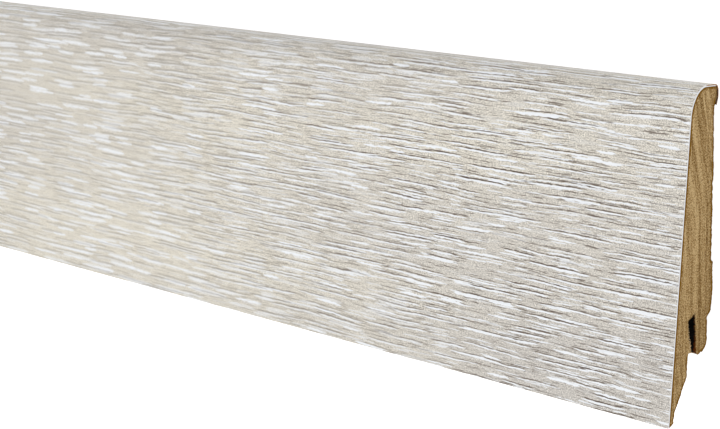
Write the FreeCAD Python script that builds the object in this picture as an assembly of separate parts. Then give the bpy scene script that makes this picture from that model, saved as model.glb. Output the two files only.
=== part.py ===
import FreeCAD, Part
import math
import os

# Film-wrapped skirting board, one full length, lying on its back with the decor side up.
# X runs along the length, Y from the toe to the top edge and Z up, with the origin under
# the middle. The section is drawn standing, as the height above the toe and the distance
# forward of the back face, and is then laid down on the two lines that touch the floor.
# Sizes are in millimetres and angles in degrees.

# Whole board, over the film
BOARD_LENGTH = 2400.0
BOARD_HEIGHT = 58.0
BOARD_DEPTH = 19.0
FRONT_LEAN = 8.8
TOP_FALL = 13.0
NOSE_RADIUS = 5.0

# Decor film, glued to the front and the top, with a loose tail behind the head
FILM_THICKNESS = 0.35
TAIL_GAP = 0.3
TAIL_BEND_RADIUS = 1.2
TAIL_CURL_RADIUS = 1.3
TAIL_TUCK = 1.3
TUCK_GAP = 0.5

# Head, the thicker top edge that bears on the wall
HEAD_PROUD = 1.05
HEAD_CORNER_RADIUS = 0.9
HEAD_UNDERSIDE_HEIGHT = 53.2
HEEL_RISE = 1.9
HEEL_RADIUS = 0.8

# Shallow relief in the back face, deeper at its lower end
RELIEF_BOTTOM_HEIGHT = 25.0
RELIEF_WIDTH = 15.6
RELIEF_LOW_DEPTH = 0.65
RELIEF_HIGH_DEPTH = 0.25
RELIEF_SIDE = 0.4

# Shoulder and tongue below the back face
LAND_BOTTOM_HEIGHT = 18.4
SHOULDER_DROP = 2.6
SHOULDER_SETBACK = 0.7
SHOULDER_RADIUS = 0.5
TONGUE_ROOT_DROP = 3.4
TONGUE_SETBACK = 2.15
TONGUE_BOTTOM_HEIGHT = 9.15
TONGUE_RADIUS = 1.6
TONGUE_TIP_RADIUS = 1.1

# Leaning slot for the wall clips, between the tongue and the lip
SLOT_TOP_HEIGHT = 17.55
SLOT_FORWARD = 8.4
SLOT_WIDTH = 2.7
SLOT_LEAN = 5.5
SLOT_FRONT_RADIUS = 0.5
SLOT_REAR_RADIUS = 0.4

# Lip and toe, the thin front leg that hides the gap at the floor
LEDGE_HEIGHT = 11.05
LEDGE_WIDTH = 0.55
LIP_BOTTOM_HEIGHT = 6.9
LIP_FORWARD = 10.15
LIP_RADIUS = 0.5
TOE_WIDTH = 1.5
TOE_RISE = 2.1
TOE_TAPER = 0.65
TOE_RADIUS = 0.5

# A rounding takes at most this share of the shorter side beside it
ROUNDING_SHARE = 0.6


def section_point(height, forward):
    return FreeCAD.Vector(0, height, forward)


def section_direction(degrees):
    """Unit vector in the section, turned from straight up towards the front."""
    angle = math.radians(degrees)
    return FreeCAD.Vector(0, math.cos(angle), math.sin(angle))


def meeting_point(start_a, along_a, start_b, along_b):
    """Where two lines of the section cross."""
    between = start_b - start_a
    turn = along_a.cross(along_b).x
    return start_a + along_a * (between.cross(along_b).x / turn)


def fitted_radius(before, corner, after, radius):
    """The wanted radius, or the largest that the shorter side beside the corner leaves room for."""
    half_angle = (before - corner).getAngle(after - corner) / 2
    room = ROUNDING_SHARE * min((before - corner).Length, (after - corner).Length)
    return min(radius, room * math.tan(half_angle))


def rounding(before, corner, after, radius):
    """Start, middle and end of the arc that rounds a corner."""
    back = (before - corner).normalize()
    ahead = (after - corner).normalize()
    half_angle = back.getAngle(ahead) / 2
    fitted = fitted_radius(before, corner, after, radius)
    reach = fitted / math.tan(half_angle)
    inward = (back + ahead).normalize()
    middle = corner + inward * (fitted / math.sin(half_angle) - fitted)
    return corner + back * reach, middle, corner + ahead * reach


def closed_wire(corners):
    """Wire through a closed list of corners, each with the radius of its rounding."""
    stretches = []
    for index, (corner, radius) in enumerate(corners):
        before = corners[index - 1][0]
        after = corners[(index + 1) % len(corners)][0]
        if radius > 0:
            stretches.append(rounding(before, corner, after, radius))
        else:
            stretches.append((corner,))
    edges = []
    for index, stretch in enumerate(stretches):
        if len(stretch) == 3:
            edges.append(Part.Arc(*stretch).toShape())
        following = stretches[(index + 1) % len(stretches)][0]
        edges.append(Part.LineSegment(stretch[-1], following).toShape())
    return Part.Wire(edges)


def offset_path(path, distance):
    """An open path moved outwards, with its roundings kept concentric."""
    moved = []
    for index, (corner, radius) in enumerate(path):
        before = path[max(index - 1, 0)][0]
        after = path[min(index + 1, len(path) - 1)][0]
        if index == 0:
            moved.append((corner + outward(corner, after) * distance, 0))
        elif index == len(path) - 1:
            moved.append((corner + outward(before, corner) * distance, 0))
        else:
            start_a = corner + outward(before, corner) * distance
            start_b = corner + outward(corner, after) * distance
            place = meeting_point(start_a, corner - before, start_b, after - corner)
            moved.append((place, radius + distance))
    return moved


def outward(start, end):
    """Unit vector to the left of a stretch, which is outside on the way from toe to tail."""
    along = (end - start).normalize()
    return FreeCAD.Vector(0, -along.z, along.y)


def front_line():
    """A point and the direction of the core's front face, from the toe up."""
    direction = section_direction(-FRONT_LEAN)
    tail_back = HEAD_PROUD + TAIL_GAP + FILM_THICKNESS
    film_at_toe = FILM_THICKNESS * math.cos(math.radians(FRONT_LEAN))
    return section_point(0, BOARD_DEPTH - tail_back - film_at_toe), direction


def top_line():
    """A point and the direction of the core's top, from the crown back to the wall.

    The line runs past the nose's round, whose centre lies under the board's highest point."""
    toe, up_front = front_line()
    radius = NOSE_RADIUS - FILM_THICKNESS
    inset = toe - outward(toe, toe + up_front) * radius
    centre_level = section_point(BOARD_HEIGHT - NOSE_RADIUS, 0)
    centre = meeting_point(inset, up_front, centre_level, section_direction(90))
    along = section_direction(-90 - TOP_FALL)
    return centre + outward(centre, centre + along) * radius, along


def head_corners():
    """Corners that core and film share the lines of: toe, crown and the head's back corner."""
    toe, up_front = front_line()
    on_top, along_top = top_line()
    crown = meeting_point(toe, up_front, on_top, along_top)
    back_line = section_point(0, -HEAD_PROUD)
    corner = meeting_point(on_top, along_top, back_line, section_direction(0))
    radius = fitted_radius(toe, crown, corner, NOSE_RADIUS - FILM_THICKNESS)
    return toe, crown, corner, radius


def heel_corners():
    """The head's lower back corner, and where its underside meets the back face."""
    heel = section_point(HEAD_UNDERSIDE_HEIGHT + HEEL_RISE, -HEAD_PROUD)
    underside = section_point(HEAD_UNDERSIDE_HEIGHT, 0)
    return heel, underside


def slot_corners():
    """Rear mouth, rear top, front top and front mouth of the clip slot."""
    down = section_direction(SLOT_LEAN) * -1
    across = section_direction(SLOT_LEAN + 90)
    top = section_point(SLOT_TOP_HEIGHT, SLOT_FORWARD)
    rear_top = top - across * (SLOT_WIDTH / 2)
    front_top = top + across * (SLOT_WIDTH / 2)
    level = section_direction(90)
    rear_mouth = meeting_point(rear_top, down, section_point(TONGUE_BOTTOM_HEIGHT, 0), level)
    front_mouth = meeting_point(front_top, down, section_point(LEDGE_HEIGHT, 0), level)
    return rear_mouth, rear_top, front_top, front_mouth


def core_outline():
    toe, crown, head_corner, crown_radius = head_corners()
    heel, underside = heel_corners()
    rear_mouth, rear_top, front_top, front_mouth = slot_corners()
    relief_top = RELIEF_BOTTOM_HEIGHT + RELIEF_WIDTH
    toe_back = toe.z - TOE_WIDTH
    return [
        (toe, 0),
        (crown, crown_radius),
        (head_corner, HEAD_CORNER_RADIUS),
        (heel, HEEL_RADIUS),
        (underside, 0),
        (section_point(relief_top, 0), 0),
        (section_point(relief_top - RELIEF_SIDE, RELIEF_HIGH_DEPTH), 0),
        (section_point(RELIEF_BOTTOM_HEIGHT + RELIEF_SIDE, RELIEF_LOW_DEPTH), 0),
        (section_point(RELIEF_BOTTOM_HEIGHT, 0), 0),
        (section_point(LAND_BOTTOM_HEIGHT, 0), 0),
        (section_point(LAND_BOTTOM_HEIGHT - SHOULDER_DROP, SHOULDER_SETBACK), SHOULDER_RADIUS),
        (section_point(LAND_BOTTOM_HEIGHT - TONGUE_ROOT_DROP, TONGUE_SETBACK), 0),
        (section_point(TONGUE_BOTTOM_HEIGHT, TONGUE_SETBACK), TONGUE_RADIUS),
        (rear_mouth, TONGUE_TIP_RADIUS),
        (rear_top, SLOT_REAR_RADIUS),
        (front_top, SLOT_FRONT_RADIUS),
        (front_mouth, 0),
        (front_mouth + section_direction(90) * LEDGE_WIDTH, 0),
        (section_point(LIP_BOTTOM_HEIGHT, LIP_FORWARD), LIP_RADIUS),
        (section_point(TOE_RISE, toe_back - TOE_TAPER), TOE_RADIUS),
        (section_point(0, toe_back), TOE_RADIUS),
    ]


def film_inner_path():
    """The film's glued side, from the toe over the crown to the end of the loose tail."""
    toe, crown, head_corner, crown_radius = head_corners()
    heel, underside = heel_corners()
    on_top, along_top = top_line()
    tail_line = section_point(0, -HEAD_PROUD - TAIL_GAP)
    up = section_direction(0)
    bend = meeting_point(on_top, along_top, tail_line, up)
    tuck = (underside - heel).normalize()
    clear_of_heel = heel + outward(heel, underside) * TUCK_GAP
    curl = meeting_point(clear_of_heel, tuck, tail_line, up)
    return [
        (toe, 0),
        (crown, crown_radius),
        (bend, TAIL_BEND_RADIUS),
        (curl, TAIL_CURL_RADIUS),
        (curl + tuck * TAIL_TUCK, 0),
    ]


def film_outline():
    inner = film_inner_path()
    outer = offset_path(inner, FILM_THICKNESS)
    return outer + inner[::-1]


def resting_turn():
    """Turn about the length that brings the film tail and the back face's lower edge to the floor."""
    bend, curl, end = [corner for corner, radius in film_inner_path()[2:]]
    start, middle, finish = rounding(bend, curl, end, TAIL_CURL_RADIUS)
    centre = Part.Arc(start, middle, finish).toShape().Curve.Center
    reach = (middle - centre).Length + FILM_THICKNESS
    edge = section_point(LAND_BOTTOM_HEIGHT, 0)
    to_centre = centre - edge
    return math.degrees(math.asin(reach / to_centre.Length) - math.atan2(to_centre.z, to_centre.y))


def board_length_of(corners):
    """Solid of the full length with the given section, still standing in section coordinates."""
    face = Part.Face(closed_wire(corners))
    solid = face.extrude(FreeCAD.Vector(BOARD_LENGTH, 0, 0))
    solid.translate(FreeCAD.Vector(-BOARD_LENGTH / 2, 0, 0))
    return solid


def laid_down(solids):
    """The solids turned to rest, with the origin under the middle of their box."""
    turn = resting_turn()
    for solid in solids:
        solid.rotate(FreeCAD.Vector(0, 0, 0), FreeCAD.Vector(1, 0, 0), turn)
    box = Part.makeCompound(solids).optimalBoundingBox(False, False)
    shift = FreeCAD.Vector(0, -(box.YMin + box.YMax) / 2, -box.ZMin)
    for solid in solids:
        solid.translate(shift)
    print("turn to rest", round(turn, 4), "degrees, moved", round(shift.y, 4), round(shift.z, 4))
    return solids


def main():
    os.makedirs("parts", exist_ok=True)
    core, film = laid_down([board_length_of(core_outline()), board_length_of(film_outline())])
    core.exportStep("parts/fibreboard_core.step")
    film.exportStep("parts/decor_film.step")


main()
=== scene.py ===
"""A full length of film-wrapped skirting board, laid on its back on a pale studio floor."""

import math
from functools import partial

import bpy
from mathutils import Matrix, Vector
from mathutils.geometry import intersect_line_line_2d


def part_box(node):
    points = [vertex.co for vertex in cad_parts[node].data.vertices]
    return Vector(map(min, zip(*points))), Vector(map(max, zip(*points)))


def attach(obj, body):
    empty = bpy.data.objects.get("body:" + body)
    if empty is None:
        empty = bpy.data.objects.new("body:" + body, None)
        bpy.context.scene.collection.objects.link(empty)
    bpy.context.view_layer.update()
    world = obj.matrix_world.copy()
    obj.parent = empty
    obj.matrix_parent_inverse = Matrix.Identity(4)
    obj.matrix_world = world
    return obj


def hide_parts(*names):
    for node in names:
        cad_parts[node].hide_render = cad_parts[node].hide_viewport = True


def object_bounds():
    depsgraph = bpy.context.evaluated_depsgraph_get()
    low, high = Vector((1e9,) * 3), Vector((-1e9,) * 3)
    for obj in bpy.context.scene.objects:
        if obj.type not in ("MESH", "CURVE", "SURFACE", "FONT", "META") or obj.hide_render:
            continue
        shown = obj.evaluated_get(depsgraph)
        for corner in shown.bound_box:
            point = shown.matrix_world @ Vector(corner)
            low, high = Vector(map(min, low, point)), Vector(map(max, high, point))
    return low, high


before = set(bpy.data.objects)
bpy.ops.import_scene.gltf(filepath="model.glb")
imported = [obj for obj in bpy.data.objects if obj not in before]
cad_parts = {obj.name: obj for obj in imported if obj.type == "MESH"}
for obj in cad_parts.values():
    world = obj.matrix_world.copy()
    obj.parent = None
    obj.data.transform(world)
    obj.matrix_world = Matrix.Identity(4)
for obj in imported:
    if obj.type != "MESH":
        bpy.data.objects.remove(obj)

bl_info = {
    "name": "Skirting Board Length",
    "version": (1, 0, 0),
    "blender": (4, 5, 0),
    "location": "View3D > Sidebar > Skirting",
    "description": "Builds a length of film-wrapped fibreboard skirting and the studio around it",
    "category": "Add Mesh",
}

CAD_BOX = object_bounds()
MM = 0.001
FILM_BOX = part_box("decor_film")
BOARD_LENGTH = FILM_BOX[1].x - FILM_BOX[0].x


def linear(code):
    """Linear colour of an sRGB hex value."""
    shares = [int(code[place:place + 2], 16) / 255 for place in (0, 2, 4)]
    return tuple(s / 12.92 if s <= 0.04045 else ((s + 0.055) / 1.055) ** 2.4 for s in shares)


def size(name, description, default):
    """A length in metres that the panel shows in the scene's units."""
    return bpy.props.FloatProperty(
        name=name, description=description, default=default, unit="LENGTH", precision=5)


def colour(name, description, code):
    """A colour given as its sRGB hex value."""
    return bpy.props.FloatVectorProperty(
        name=name, description=description, subtype="COLOR", min=0, max=1, default=linear(code))


def share(name, description, default, most=1):
    """A number from 0 to 1, or to the most that is given."""
    return bpy.props.FloatProperty(
        name=name, description=description, default=default, min=0, max=most, subtype="FACTOR")


def turn(name, description, degrees):
    """An angle, given in degrees."""
    return bpy.props.FloatProperty(
        name=name, description=description, default=math.radians(degrees), unit="ROTATION")


def pattern_shift(name, description, along, across):
    """A move of a pattern along and across the board, in millimetres."""
    return bpy.props.FloatVectorProperty(
        name=name, description=description, default=(along, across, 0))


class SectionSizes(bpy.types.PropertyGroup):
    """The board's section, standing: heights above the toe and distances forward of the back face."""
    height: size("Height", "Whole height over the film", 58 * MM)
    depth: size("Depth", "Whole depth over the film", 19 * MM)
    front_lean: turn("Front Lean", "How far the front leans back", 8.8)
    top_fall: turn("Top Fall", "How far the top falls towards the wall", 13)
    nose_radius: size("Nose Radius", "Round between front and top, over the film", 5 * MM)
    film: size("Film", "Thickness of the decor film", 0.35 * MM)
    tail_gap: size("Tail Gap", "Gap between the head and the loose end of the film", 0.3 * MM)
    tail_bend: size("Tail Bend", "Radius of the film where it turns down", 1.2 * MM)
    tail_curl: size("Tail Curl", "Radius of the film's curl", 1.3 * MM)
    tuck_gap: size("Tuck Gap", "Gap between the head's underside and the curled end", 0.5 * MM)
    tail_tuck: size("Tail Tuck", "Straight end of the film after its curl", 1.3 * MM)
    head_proud: size("Head Proud", "How far the head stands behind the back face", 1.05 * MM)
    head_corner: size("Head Corner", "Radius of the head's back corner", 0.9 * MM)
    head_underside: size("Head Underside", "Height of the head's underside", 53.2 * MM)
    heel_rise: size("Heel Rise", "Rise of the head's slanting underside", 1.9 * MM)
    heel_radius: size("Heel Radius", "Round at the head's lower back corner", 0.8 * MM)
    relief_bottom: size("Relief Bottom", "Lower end of the relief in the back face", 25 * MM)
    relief_width: size("Relief Width", "Height of the relief", 15.6 * MM)
    relief_low: size("Relief Low Depth", "Depth of the relief at its lower end", 0.65 * MM)
    relief_high: size("Relief High Depth", "Depth of the relief at its upper end", 0.25 * MM)
    relief_side: size("Relief Side", "Height of the relief's slanting ends", 0.4 * MM)
    land_bottom: size("Land Bottom", "Lower end of the back face", 18.4 * MM)
    shoulder_drop: size("Shoulder Drop", "Height of the shoulder below the back face", 2.6 * MM)
    shoulder_setback: size("Shoulder Setback", "How far the shoulder stands forward", 0.7 * MM)
    shoulder_radius: size("Shoulder Radius", "Round of the shoulder", 0.5 * MM)
    tongue_root: size("Tongue Root", "Drop from the back face to the tongue's root", 3.4 * MM)
    tongue_setback: size("Tongue Setback", "How far the tongue stands forward", 2.15 * MM)
    tongue_bottom: size("Tongue Bottom", "Height of the tongue's end", 9.15 * MM)
    tongue_radius: size("Tongue Radius", "Round of the tongue's back corner", 1.6 * MM)
    tongue_tip: size("Tongue Tip", "Round of the tongue's corner at the slot", 1.1 * MM)
    slot_top: size("Slot Top", "Height of the clip slot's top", 17.55 * MM)
    slot_forward: size("Slot Forward", "Middle of the slot's top", 8.4 * MM)
    slot_width: size("Slot Width", "Width of the clip slot", 2.7 * MM)
    slot_lean: turn("Slot Lean", "How far the slot leans", 5.5)
    slot_front: size("Slot Front Round", "Round of the slot's front top corner", 0.5 * MM)
    slot_rear: size("Slot Rear Round", "Round of the slot's rear top corner", 0.4 * MM)
    ledge_height: size("Ledge Height", "Height of the ledge at the slot's mouth", 11.05 * MM)
    ledge_width: size("Ledge Width", "Width of that ledge", 0.55 * MM)
    lip_bottom: size("Lip Bottom", "Height of the lip's lower corner", 6.9 * MM)
    lip_forward: size("Lip Forward", "Place of the lip's lower corner", 10.15 * MM)
    lip_radius: size("Lip Radius", "Round of the lip's lower corner", 0.5 * MM)
    toe_width: size("Toe Width", "Width of the core's toe", 1.5 * MM)
    toe_rise: size("Toe Rise", "Height of the toe's back corner", 2.1 * MM)
    toe_taper: size("Toe Taper", "How much the toe widens over that height", 0.65 * MM)
    toe_radius: size("Toe Radius", "Rounds of the toe's back corners", 0.5 * MM)


class FilmLook(bpy.types.PropertyGroup):
    """Colours and pattern of the decor film."""
    ground_warm: colour("Warm Ground", "Warm part of the printed ground", "DDD7C9")
    ground_grey: colour("Grey Ground", "Grey part of the printed ground", "C3BEB8")
    pore_dark: colour("Dark Pore", "Colour of the dark pores", "59493B")
    # Colour of the limed pores, and of the painted highlights beside the dark pores
    pore_white_and_highlight: colour("White Pore", "Colour of the limed pores", "F2F5F9")
    cloud_shift: pattern_shift(
        "Cloud Shift", "Moves the warm and grey clouds, in millimetres", 9221, 2943)
    grain_shift: pattern_shift(
        "Grain Shift", "Moves the zones of strong grain, in millimetres", 640, 1064)
    # Painted light and shade: broad zones of the film's ground made lighter or darker
    painted_shade_shift: pattern_shift(
        "Tone Shift", "Moves the light and dark zones, in millimetres", 10608, 4420)
    painted_shade_depth: share("Toning", "How much darker the dark zones are", 0.06)
    edge_pale: colour("Pale Edge", "Palest part of the film's cut edge", "FAFBFD")
    edge_grey: colour("Grey Edge", "Greyest part of the film's cut edge", "E6E8EA")
    edge_tail: colour("Tail Edge", "Browned edge of the film's loose tail", "96601F")
    edge_glue: colour("Glued Edge", "Glue line under the film", "3C260C")
    faintest: share("Faintest", "Strength of the grain where it is faintest", 0.25)
    blur: size("Blur", "Softness of the printed grain where it is faintest", 0.7 * MM)
    streaks: share("Streaks", "Contrast of the drawn-out streaks", 0.2)
    mottle: share("Mottle", "Contrast of the leathery mottle", 0.5)
    speckle: share("Speckle", "Contrast of the fine speckle", 0.75)
    pore_depth: size("Pore Depth", "Depth of the embossed pores", 0.02 * MM)


class FibreboardLook(bpy.types.PropertyGroup):
    """Colours and pattern of the fibreboard."""
    fibre_light: colour("Light Fibre", "Lightest wood fibre", "D5B887")
    fibre_middle: colour("Middle Fibre", "Most of the wood fibre", "AA8A59")
    fibre_dark: colour("Dark Fibre", "Darkest wood fibre", "6B4D1F")
    fibre_skin: colour("Skin", "Denser skin, and the browned rim of a cut", "7A5402")
    # Painted shade: brown on the slot's walls just behind a cut, where they are half in shade, and
    # near black deeper in and behind the back face
    slot_half_shade: colour("Slot Brown", "Singed walls of the clip slot, near a cut", "703A0A")
    slot_shade: colour("Slot Dark", "Shadowed walls of the clip slot", "040201")
    # Colour of the fibres torn out at the clip slot, paler than the pressed mat
    torn: colour("Torn Fibre", "Clean fibre torn out at the clip slot", "ECCB98")
    skin: share("Skin Strength", "How much darker the skins and rims are", 0.95)
    bands: share("Bands", "Contrast of the broad bands", 1.35, most=2)
    fibres: share("Fibres", "Contrast of the matted fibres", 0.85)
    nap: size("Nap", "Height of the fibres on a cut face", 0.1 * MM)


# Short names of nodes: what their kinds begin with, and a sign for each of the commonest sums
NODE_PREFIXES = ("ShaderNode", "GeometryNode", "FunctionNode", "")
SUMS = {"+": "Math:ADD", "-": "Math:SUBTRACT", "*": "Math:MULTIPLY", "/": "Math:DIVIDE",
        "*+": "Math:MULTIPLY_ADD"}

# How finely the section is drawn
ROUNDING_SHARE = 0.6
CURVE_STEP = 1 * MM
FIBRE_STEP = 0.25 * MM
CURVE_TURN = math.radians(8)
LEAST_ROUND_STEPS = 3
SHARP_TURN = math.radians(30)
MERGE = 2e-6
ON_OUTLINE = 0.02 * MM

# The browned rim of a saw cut: its width, the passes that keep that width, the neighbours that
# each pass looks at, and how its inner line is drawn back from where it would cross itself
RIM_WIDTH = 0.75 * MM
RIM_PASSES = 4
RIM_NEIGHBOURS = 12
RIM_REACH = 1 * MM
RIM_SHORTENING = 0.85
RIM_TURNS = 40
RIM_MERGE = 0.02 * MM

# Baked map: margins beside a row and at its ends, and the middle of the cut's height when lying
ROW_MARGIN = 0.02
ROW_END_MARGIN = 0.01
HALF_LYING_DEPTH = 8.2 * MM

# Kinds of face on the film and on the core, and the room in the map that a hidden one gets
DECOR, BACKING = 0, 1
GLUED, EXPOSED = 0, 1
HIDDEN_SHARE = 0.1

# Corners of the core under the film and of the slot's front wall, and the depth that fibres tear at
GLUED_CORNERS = (0, 1)
SLOT_FRONT_WALL = slice(15, 17)
TORN_INSET = 0.12 * MM

# Film's cut edge, in millimetres above the floor: its tail's glue and its front's wear fade out here
TAIL_BROWNED = (1.2, 2.0)
FRONT_WORN = (5.0, 6.0)

# Fibreboard, in millimetres: where its layers begin to lean forward and how much for each
# millimetre of height, the depths of a sawn face and of the pressed skin, and where the browned
# rim fades at the head, behind the back face and beside the slot
LAYERS_LEAN_FROM = 36.0
LAYERS_LEAN = 0.3
SAWN_DEPTH = 0.05
SKIN_DEPTH = 0.5
HEAD_FADE = (54.0, 58.0)
HEEL_FADE = (-0.7, -0.1)
SLOT_FADE = (0.3, 0.9)
SLOT_MARGIN = 0.15
# Heights over which the slot's painted shade begins further in towards its mouth, and the depth behind
# the back face where painted shade covers the core
SLOT_MOUTH = (10.0, 14.0)
BEHIND_BACK = -0.5

# Studio
FLOOR_REACH = 6
FLOOR_COLOUR = "E6E6E6"
FLOOR_GLOW = 0.75
WORLD_LIGHT = 0.6

# Camera in the board's frame, in millimetres
CAMERA_PLACE = (1298.78, 89.92, 220.99)
CAMERA_RIGHT = (0.789567, -0.051943, -0.611463)
CAMERA_DOWN = (0.162372, -0.943216, 0.289792)
CAMERA_AHEAD = (-0.591794, -0.328095, -0.736297)
CAMERA_LENS = 71.8
CAMERA_SENSOR = 36
CAMERA_CLIP = 10


def heading(angle):
    """Unit vector in the section, turned from straight up towards the front."""
    return Vector((math.cos(angle), math.sin(angle)))


def outward(start, end):
    """Unit vector to the left of a stretch, which is outside on the way from toe to tail."""
    along = (end - start).normalized()
    return Vector((-along.y, along.x))


def meeting_point(start_a, along_a, start_b, along_b):
    """Where two lines of the section cross."""
    between = start_b - start_a
    turned = along_a.x * along_b.y - along_a.y * along_b.x
    return start_a + along_a * ((between.x * along_b.y - between.y * along_b.x) / turned)


def half_angle(before, corner, after):
    """Half of the angle at a corner."""
    return (before - corner).angle(after - corner) / 2


def fitted_radius(before, corner, after, radius):
    """The wanted radius, or the largest that the shorter side beside the corner leaves room for."""
    room = ROUNDING_SHARE * min((before - corner).length, (after - corner).length)
    return min(radius, room * math.tan(half_angle(before, corner, after)))


def offset_path(path, distance):
    """An open path moved outwards, with its roundings kept concentric."""
    moved = [(path[0][0] + outward(path[0][0], path[1][0]) * distance, 0)]
    for (before, _), (corner, radius), (after, _) in zip(path, path[1:], path[2:]):
        start_a = corner + outward(before, corner) * distance
        start_b = corner + outward(corner, after) * distance
        met = meeting_point(start_a, corner - before, start_b, after - corner)
        moved.append((met, radius + distance))
    moved.append((path[-1][0] + outward(path[-2][0], path[-1][0]) * distance, 0))
    return moved


def head_corners(s):
    """Toe, crown and the head's back corner, and the core's radius at the crown."""
    film_at_toe = s.film * math.cos(s.front_lean)
    toe = Vector((0, s.depth - s.head_proud - s.tail_gap - s.film - film_at_toe))
    up_front = heading(-s.front_lean)
    radius = s.nose_radius - s.film
    inset = toe - outward(toe, toe + up_front) * radius
    centre = meeting_point(inset, up_front, Vector((s.height - s.nose_radius, 0)), Vector((0, 1)))
    along_top = heading(-math.pi / 2 - s.top_fall)
    on_top = centre + outward(centre, centre + along_top) * radius
    crown = meeting_point(toe, up_front, on_top, along_top)
    corner = meeting_point(on_top, along_top, Vector((0, -s.head_proud)), Vector((1, 0)))
    return toe, crown, corner, fitted_radius(toe, crown, corner, radius), on_top, along_top


def core_corners(s):
    """The core's section, each corner with the radius of its rounding."""
    toe, crown, head_corner, crown_radius, *_ = head_corners(s)
    down = -heading(s.slot_lean)
    across = heading(s.slot_lean + math.pi / 2)
    top = Vector((s.slot_top, s.slot_forward))
    rear_top = top - across * (s.slot_width / 2)
    front_top = top + across * (s.slot_width / 2)
    rear_mouth = meeting_point(rear_top, down, Vector((s.tongue_bottom, 0)), Vector((0, 1)))
    front_mouth = meeting_point(front_top, down, Vector((s.ledge_height, 0)), Vector((0, 1)))
    relief_top = s.relief_bottom + s.relief_width
    toe_back = toe.y - s.toe_width
    plain = [
        (toe.x, toe.y, 0),
        (crown.x, crown.y, crown_radius),
        (head_corner.x, head_corner.y, s.head_corner),
        (s.head_underside + s.heel_rise, -s.head_proud, s.heel_radius),
        (s.head_underside, 0, 0),
        (relief_top, 0, 0),
        (relief_top - s.relief_side, s.relief_high, 0),
        (s.relief_bottom + s.relief_side, s.relief_low, 0),
        (s.relief_bottom, 0, 0),
        (s.land_bottom, 0, 0),
        (s.land_bottom - s.shoulder_drop, s.shoulder_setback, s.shoulder_radius),
        (s.land_bottom - s.tongue_root, s.tongue_setback, 0),
        (s.tongue_bottom, s.tongue_setback, s.tongue_radius),
        (rear_mouth.x, rear_mouth.y, s.tongue_tip),
        (rear_top.x, rear_top.y, s.slot_rear),
        (front_top.x, front_top.y, s.slot_front),
        (front_mouth.x, front_mouth.y, 0),
        (front_mouth.x, front_mouth.y + s.ledge_width, 0),
        (s.lip_bottom, s.lip_forward, s.lip_radius),
        (s.toe_rise, toe_back - s.toe_taper, s.toe_radius),
        (0, toe_back, s.toe_radius),
    ]
    return [(Vector((height, forward)), radius) for height, forward, radius in plain]


def film_inner_path(s):
    """The film's glued side, from the toe over the crown to the end of the loose tail."""
    toe, crown, _, crown_radius, on_top, along_top = head_corners(s)
    heel = Vector((s.head_underside + s.heel_rise, -s.head_proud))
    underside = Vector((s.head_underside, 0))
    tail_line = Vector((0, -s.head_proud - s.tail_gap))
    bend = meeting_point(on_top, along_top, tail_line, Vector((1, 0)))
    tuck = (underside - heel).normalized()
    clear_of_heel = heel + outward(heel, underside) * s.tuck_gap
    curl = meeting_point(clear_of_heel, tuck, tail_line, Vector((1, 0)))
    return [(toe, 0), (crown, crown_radius), (bend, s.tail_bend), (curl, s.tail_curl),
            (curl + tuck * s.tail_tuck, 0)]


def rounded(corners, longest, finest):
    """Points round a closed section, each with the number of the corner that it belongs to.

    Straight stretches are cut to the longest step and rounds to the finest angle as well."""
    points = []
    for index, (corner, radius) in enumerate(corners):
        before = corners[index - 1][0]
        after = corners[(index + 1) % len(corners)][0]
        if radius == 0:
            points.append((corner, index))
            continue
        back = (before - corner).normalized()
        ahead = (after - corner).normalized()
        half = half_angle(before, corner, after)
        fitted = fitted_radius(before, corner, after, radius)
        centre = corner + (back + ahead).normalized() * (fitted / math.sin(half))
        first = corner + back * (fitted / math.tan(half)) - centre
        swept = math.copysign(math.pi - 2 * half, ahead.x * back.y - ahead.y * back.x)
        by_turn, by_length = abs(swept) / finest, abs(swept) * fitted / longest
        steps = max(LEAST_ROUND_STEPS, math.ceil(by_turn), math.ceil(by_length))
        for step in range(steps + 1):
            spin = Matrix.Rotation(swept * step / steps, 2)
            points.append((centre + spin @ first, index))
    cut = []
    for (start, index), (end, _) in zip(points, points[1:] + points[:1]):
        pieces = max(1, math.ceil((end - start).length / longest))
        cut.extend((start.lerp(end, piece / pieces), index) for piece in range(pieces))
    return cut


def resting_turn(s):
    """Turn that brings the film's tail and the back face's lower edge to the floor."""
    (bend, _), (curl, radius), (end, _) = film_inner_path(s)[2:]
    half = half_angle(bend, curl, end)
    fitted = fitted_radius(bend, curl, end, radius)
    inward = ((bend - curl).normalized() + (end - curl).normalized()).normalized()
    to_centre = curl + inward * (fitted / math.sin(half)) - Vector((s.land_bottom, 0))
    return math.asin((fitted + s.film) / to_centre.length) - math.atan2(to_centre.y, to_centre.x)


def film_corners(s):
    """The film's section: its outer side from toe to tail, and its inner side back."""
    inner = film_inner_path(s)
    return offset_path(inner, s.film) + inner[::-1]


def resting_shift(s):
    """Move that puts the turned section's box on the floor, with its middle over the origin."""
    spin = Matrix.Rotation(resting_turn(s), 2)
    film = [spin @ point for point, _ in rounded(film_corners(s), CURVE_STEP, CURVE_TURN)]
    heights = [point.x for point in film]
    return Vector((-(min(heights) + max(heights)) / 2, -min(point.y for point in film)))


def laid_down(s, outline):
    """Outline points turned to rest and moved to the board's own frame, with their corner numbers."""
    spin = Matrix.Rotation(resting_turn(s), 2)
    shift = resting_shift(s)
    return [(spin @ point + shift, index) for point, index in outline]


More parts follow.
